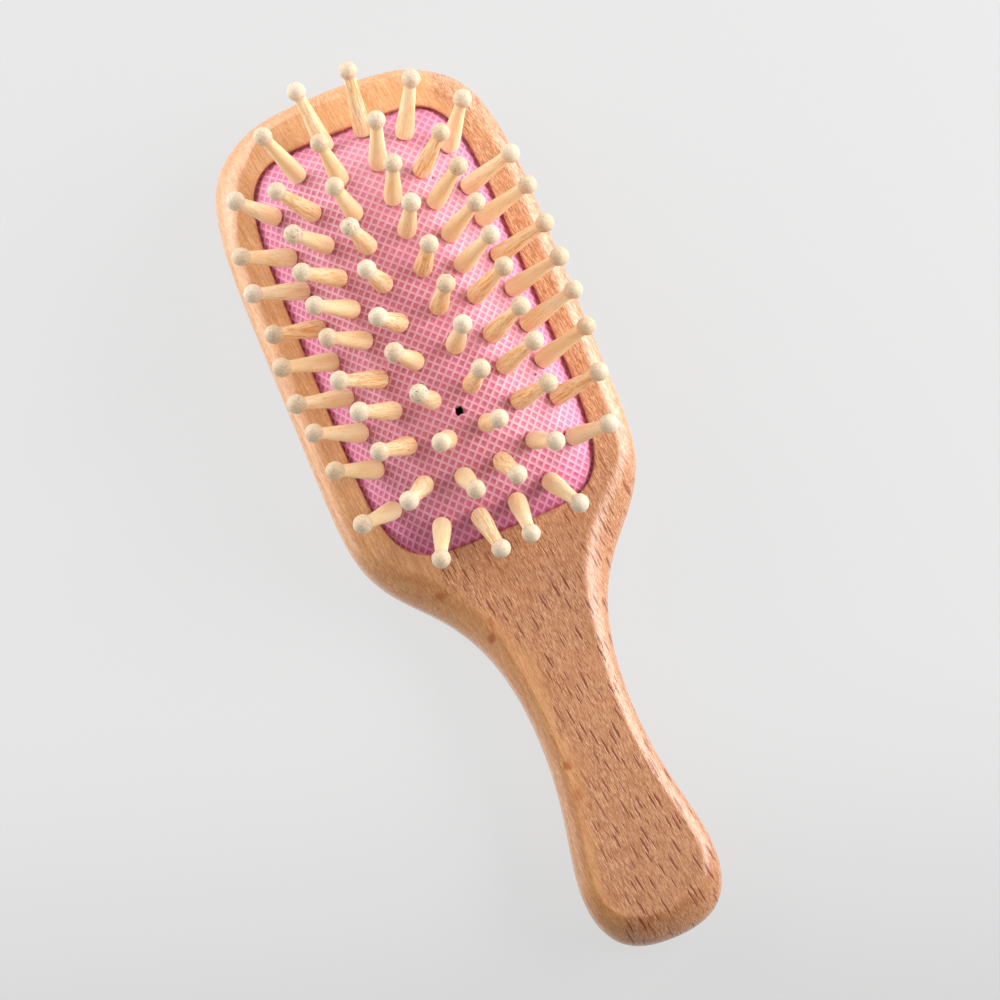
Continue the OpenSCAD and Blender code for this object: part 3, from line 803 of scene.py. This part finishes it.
def pin_wood():
    M = Mat("pale_wood")
    co = M.node("Attribute", attribute_name="pin_co").outputs["Vector"]
    rnd = M.node("Attribute", attribute_name="pin_rand").outputs["Fac"]
    rough = M.node("Attribute", attribute_name="pin_rough").outputs["Fac"]
    comb = M.node("CombineXYZ", {0: M.math("MULTIPLY", rnd, 61.0), 1: M.math("MULTIPLY", rnd, 37.0), 2: M.math("MULTIPLY", rnd, 83.0)}).outputs[0]
    h = M.node("SeparateXYZ", {0: co}).outputs[2]
    Q = M.vmath("ADD", co, comb)
    streak = M.noise(M.scaled(Q, (2.4, 2.4, 0.14)), 3, 0.6)
    fibre = M.noise(M.scaled(Q, (5.5, 5.5, 0.30)), 3, 0.6)
    warm = M.noise(M.scaled(Q, (0.5, 0.5, 0.12)), 2, 0.5)
    ball = M.step(h, PIN_L - 1.6, PIN_L - 1.32)
    c = M.mix(M.step(warm, 0.35, 0.65), srgb(251, 239, 212), srgb(250, 230, 192))
    # some dowels are plain, some strongly striped
    stripy = M.step(M.math("FRACT", M.math("MULTIPLY", rnd, 7.3)), 0.15, 0.85, 0.22, 0.95)
    c = M.mix(M.math("MULTIPLY", M.step(streak, 0.50, 0.62), M.math("MULTIPLY", stripy, 0.85)), c, srgb(236, 178, 104))
    c = M.mix(M.math("MULTIPLY", M.step(streak, 0.2, 0.45, 1.0, 0.0), 0.35), c, srgb(248, 234, 204))
    c = M.mix(M.math("MULTIPLY", M.step(fibre, 0.52, 0.64), M.math("MULTIPLY", stripy, 0.72)), c, srgb(222, 152, 78))
    tone = M.mix(rnd, srgb(255, 250, 240), srgb(250, 236, 214))
    c = M.mix(0.8, c, tone, "MULTIPLY")
    # painted reflected light: the foot of each pin lighter and pinker, for light bounced up off the rubber
    c = M.mix(M.step(h, 0.0, 5.0, 0.14, 0.0), c, srgb(255, 230, 204))
    # end grain of the ball
    pore = M.noise(M.scaled(Q, (3.2, 3.2, 3.2)), 3, 0.65)
    speck = M.noise(M.scaled(Q, (2.0, 2.0, 2.6)), 2, 0.55)
    pale = M.mix(rnd, srgb(232, 216, 194), srgb(222, 196, 164))
    dull = M.mix(rnd, srgb(212, 190, 160), srgb(198, 168, 132))
    b = M.mix(M.step(pore, 0.42, 0.66), pale, dull)
    thr = M.math("SUBTRACT", 0.74, M.math("MULTIPLY", rough, 0.13))
    sp = M.math("MULTIPLY", M.math("SUBTRACT", speck, thr), 22.0, clamp=True)
    b = M.mix(M.math("MULTIPLY", sp, 0.85), b, srgb(170, 118, 66))
    c = M.mix(ball, c, b)
    M.put(M.bsdf.inputs["Base Color"], c)
    M.put(M.bsdf.inputs["Roughness"], M.step(fibre, 0.3, 0.7, 0.42, 0.58))
    M.bsdf.inputs["Specular IOR Level"].default_value = 0.5
    M.bsdf.inputs["Subsurface Weight"].default_value = 0.08
    M.bsdf.inputs["Subsurface Radius"].default_value = (1.0, 0.7, 0.4)
    M.bsdf.inputs["Subsurface Scale"].default_value = 0.0006
    hh = M.math("SUBTRACT", M.math("MULTIPLY", fibre, 0.5), M.math("MULTIPLY", M.math("MULTIPLY", sp, ball), 1.2))
    hh = M.math("ADD", hh, M.math("MULTIPLY", M.math("MULTIPLY", pore, ball), 0.5))
    M.link(M.bump(hh, 0.00005, 0.7), M.bsdf.inputs["Normal"])
    return M.mat


mat_beech, mat_rubber, mat_pin = beech(), rubber(), pin_wood()
board.data.materials.append(mat_beech)
skin.data.materials.append(mat_rubber)
for ob in pin_objects.values():
    ob.data.materials.append(mat_pin)
for n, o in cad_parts.items():
    o.data.materials.clear()
    o.data.materials.append(mat_beech if n == "handle" else mat_rubber if n == "cushion" else mat_pin)

# ---------------------------------------------------------------- frame
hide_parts("handle")
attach(board, "board")
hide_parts("cushion")
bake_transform(skin)
for node, ob in pin_objects.items():
    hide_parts(node)
    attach(ob, node)

# ---------------------------------------------------------------- stage
bpy.ops.mesh.primitive_plane_add(size=4, location=(0, 0, board_lo.z - 0.0001))
floor = bpy.context.object
floor.name = "floor"
F = Mat("pale_floor")
F.bsdf.inputs["Base Color"].default_value = (0.09, 0.09, 0.09, 1)
F.bsdf.inputs["Roughness"].default_value = 0.9
F.bsdf.inputs["Specular IOR Level"].default_value = 0.1
F.bsdf.inputs["Emission Color"].default_value = (1, 1, 1, 1)
fy = F.node("SeparateXYZ", {0: F.node("TexCoord").outputs["Object"]}).outputs
tone = F.math("ADD", fy[1], F.math("MULTIPLY", fy[0], 0.30))
F.put(F.bsdf.inputs["Emission Strength"], F.step(tone, -0.15, -0.03, 0.535, 0.69))
floor.data.materials.append(F.mat)

world = bpy.data.worlds.new("studio")
bpy.context.scene.world = world
world.use_nodes = True
bg = world.node_tree.nodes.get("Background")
bg.inputs[0].default_value = (1.0, 0.99, 0.98, 1)
sky = world.node_tree.nodes.new("ShaderNodeTexCoord")
sky_z = world.node_tree.nodes.new("ShaderNodeSeparateXYZ")
fade = world.node_tree.nodes.new("ShaderNodeMapRange")
fade.interpolation_type = "SMOOTHSTEP"
for key, val in (("From Min", 0.08), ("From Max", 0.50), ("To Min", 0.75), ("To Max", 0.07)):
    fade.inputs[key].default_value = val
world.node_tree.links.new(sky.outputs["Generated"], sky_z.inputs[0])
world.node_tree.links.new(sky_z.outputs[2], fade.inputs["Value"])
world.node_tree.links.new(fade.outputs[0], bg.inputs[1])


def area(name, loc, target, size, size_y, power, color=(1, 1, 1)):
    d = bpy.data.lights.new(name, "AREA")
    d.shape = "RECTANGLE"
    d.size, d.size_y, d.energy, d.color = size, size_y, power, color
    o = bpy.data.objects.new(name, d)
    bpy.context.scene.collection.objects.link(o)
    o.location = loc
    o.rotation_euler = (Vector(target) - Vector(loc)).to_track_quat("-Z", "Y").to_euler()
    return o


aim = (0, 0.02, 0.01)
area("right", (0.45, -0.06, 0.31), aim, 0.44, 0.22, 3.1, (1.0, 0.99, 0.975))
area("right_low", (0.5, 0.10, 0.12), aim, 0.50, 0.18, 1.6)
area("left", (-0.25, 0.39, 0.23), aim, 0.56, 0.40, 2.35)
area("left_low", (-0.50, 0.22, 0.10), aim, 0.50, 0.18, 0.9)
area("over", (0.05, -0.05, 0.75), aim, 0.5, 0.5, 0.7)

bpy.context.scene.view_settings.view_transform = "Standard"
bpy.context.scene.view_settings.look = "None"
bpy.context.scene.view_settings.exposure = 0.0
bpy.context.scene.view_settings.gamma = 1.0
